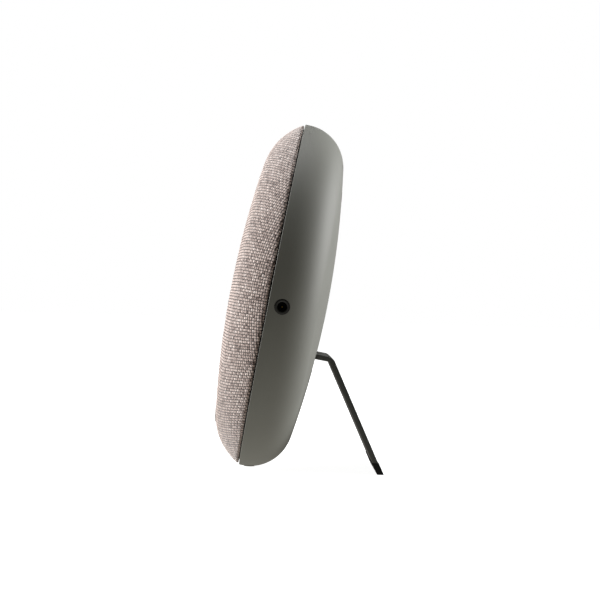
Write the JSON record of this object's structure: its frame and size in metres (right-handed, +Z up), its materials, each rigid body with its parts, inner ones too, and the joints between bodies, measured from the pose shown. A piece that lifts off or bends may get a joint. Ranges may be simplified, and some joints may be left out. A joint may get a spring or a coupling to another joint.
{
  "type": "smart display",
  "caption": "Round fabric-fronted smart display leaning on a folding metal strap stand, with a hidden lamp matrix, speaker, microphones and side power inlet.",
  "frame": {"origin": "on the table, under the middle of the whole object's box", "axes": "+Z up, the fabric front faces -Y and the stand is at +Y, +X is the side with the power inlet"},
  "size_m": [0.204, 0.0984, 0.2022],
  "materials": {
    "shell_paint": "satin moulded",
    "fabric_melange": "plain woven",
    "dark_plastic": "moulded",
    "grille_plastic": "moulded",
    "gasket_foam": "matte",
    "badge_metal": "brushed anodised",
    "grip_rubber": "matte",
    "black_rubber": "matte",
    "stand_steel": "powder coated",
    "zinc_steel": "zinc plated",
    "black_screw": "black oxide",
    "pin_steel": "ground",
    "spring_bronze": "rolled",
    "ferrite": "pressed",
    "paper_cone": "pressed pulp",
    "coil_copper": "enamelled wire",
    "spider_cloth": "resin treated",
    "pcb_green": "solder mask",
    "chip_epoxy": "moulded epoxy",
    "lamp_resin": "clear resin",
    "white_plastic": "moulded",
    "diffuser_film": "frosted",
    "ribbon_film": "laminated",
    "tin_plate": "tin plated",
    "thermal_putty": "soft",
    "bare_aluminium": "milled",
    "gold_contact": "gold plated",
    "red_wire": "PVC jacket",
    "black_wire": "PVC jacket",
    "button_plastic": "moulded",
    "mute_orange": "moulded"
  },
  "bodies": {
    "body": {"rear_shell": "shell_paint", "front_grille": "grille_plastic", "front_fabric": "fabric_melange", "seam_gasket": "gasket_foam", "badge": "badge_metal", "mid_frame": "dark_plastic", "bottom_pad": "grip_rubber", "shell_screws": "black_screw", "grille_screws": "zinc_steel", "speaker_tub": "dark_plastic", "tub_seal": "gasket_foam", "driver_basket": "dark_plastic", "driver_magnet": "ferrite", "driver_yoke": "zinc_steel", "driver_top_plate": "zinc_steel", "driver_surround": "black_rubber", "driver_spider": "spider_cloth", "driver_terminals": "gold_contact", "radiator_frame": "dark_plastic", "radiator_surround": "black_rubber", "speaker_screws": "zinc_steel", "led_board": "pcb_green", "led_lamps": "lamp_resin", "light_grid": "white_plastic", "light_diffuser": "diffuser_film", "display_screws": "zinc_steel", "display_ribbon": "ribbon_film", "main_board": "pcb_green", "board_chips": "chip_epoxy", "shield_can": "tin_plate", "thermal_pad": "thermal_putty", "heat_spreader": "bare_aluminium", "board_screws": "zinc_steel", "wifi_antenna": "gold_contact", "mic_board": "pcb_green", "microphones": "tin_plate", "mic_gaskets": "black_rubber", "speaker_leads": "red_wire", "power_leads": "black_wire", "inlet_bushing": "dark_plastic", "inlet_socket": "chip_epoxy", "inlet_pin": "gold_contact", "inlet_board": "pcb_green", "hinge_bracket": "zinc_steel", "hinge_pin": "pin_steel", "hinge_washers": "spring_bronze", "hinge_clips": "black_screw", "hinge_screws": "zinc_steel", "slot_bezel": "dark_plastic", "button_board": "pcb_green"},
    "stand": {"stand_strap": "stand_steel", "stand_foot": "black_rubber"},
    "cone": {"driver_cone": "paper_cone", "driver_voice_coil": "coil_copper", "driver_dust_cap": "paper_cone"},
    "radiator": {"radiator_plate": "bare_aluminium"},
    "volume_down_button": {"volume_down_button": "button_plastic"},
    "action_button": {"action_button": "button_plastic"},
    "volume_up_button": {"volume_up_button": "button_plastic"},
    "mute_slider": {"mute_slider": "mute_orange"}
  },
  "joints": [
    {"name": "stand_hinge", "type": "hinge", "parent": "body", "child": "stand", "pos_m": [0, 0.00162, 0.06735], "axis": [1, 0, 0], "range_deg": [-34, 0]},
    {"name": "cone_stroke", "type": "slide", "parent": "body", "child": "cone", "axis": [0, 0.9869, -0.1616], "range_m": [-0.0015, 0.0015], "stiffness_N_per_m": 1200},
    {"name": "radiator_stroke", "type": "slide", "parent": "body", "child": "radiator", "axis": [0, 0.9869, -0.1616], "range_m": [-0.002, 0.002], "stiffness_N_per_m": 1500},
    {"name": "volume_down_button_press", "type": "slide", "parent": "body", "child": "volume_down_button", "axis": [0, -0.9869, 0.1616], "range_m": [0, 0.0006], "stiffness_N_per_m": 300, "springref_m": -0.002},
    {"name": "action_button_press", "type": "slide", "parent": "body", "child": "action_button", "axis": [0, -0.9869, 0.1616], "range_m": [0, 0.0006], "stiffness_N_per_m": 300, "springref_m": -0.002},
    {"name": "volume_up_button_press", "type": "slide", "parent": "body", "child": "volume_up_button", "axis": [0, -0.9869, 0.1616], "range_m": [0, 0.0006], "stiffness_N_per_m": 300, "springref_m": -0.002},
    {"name": "mute_slide", "type": "slide", "parent": "body", "child": "mute_slider", "axis": [1, 0, 0], "range_m": [0, 0.003]}
  ]
}
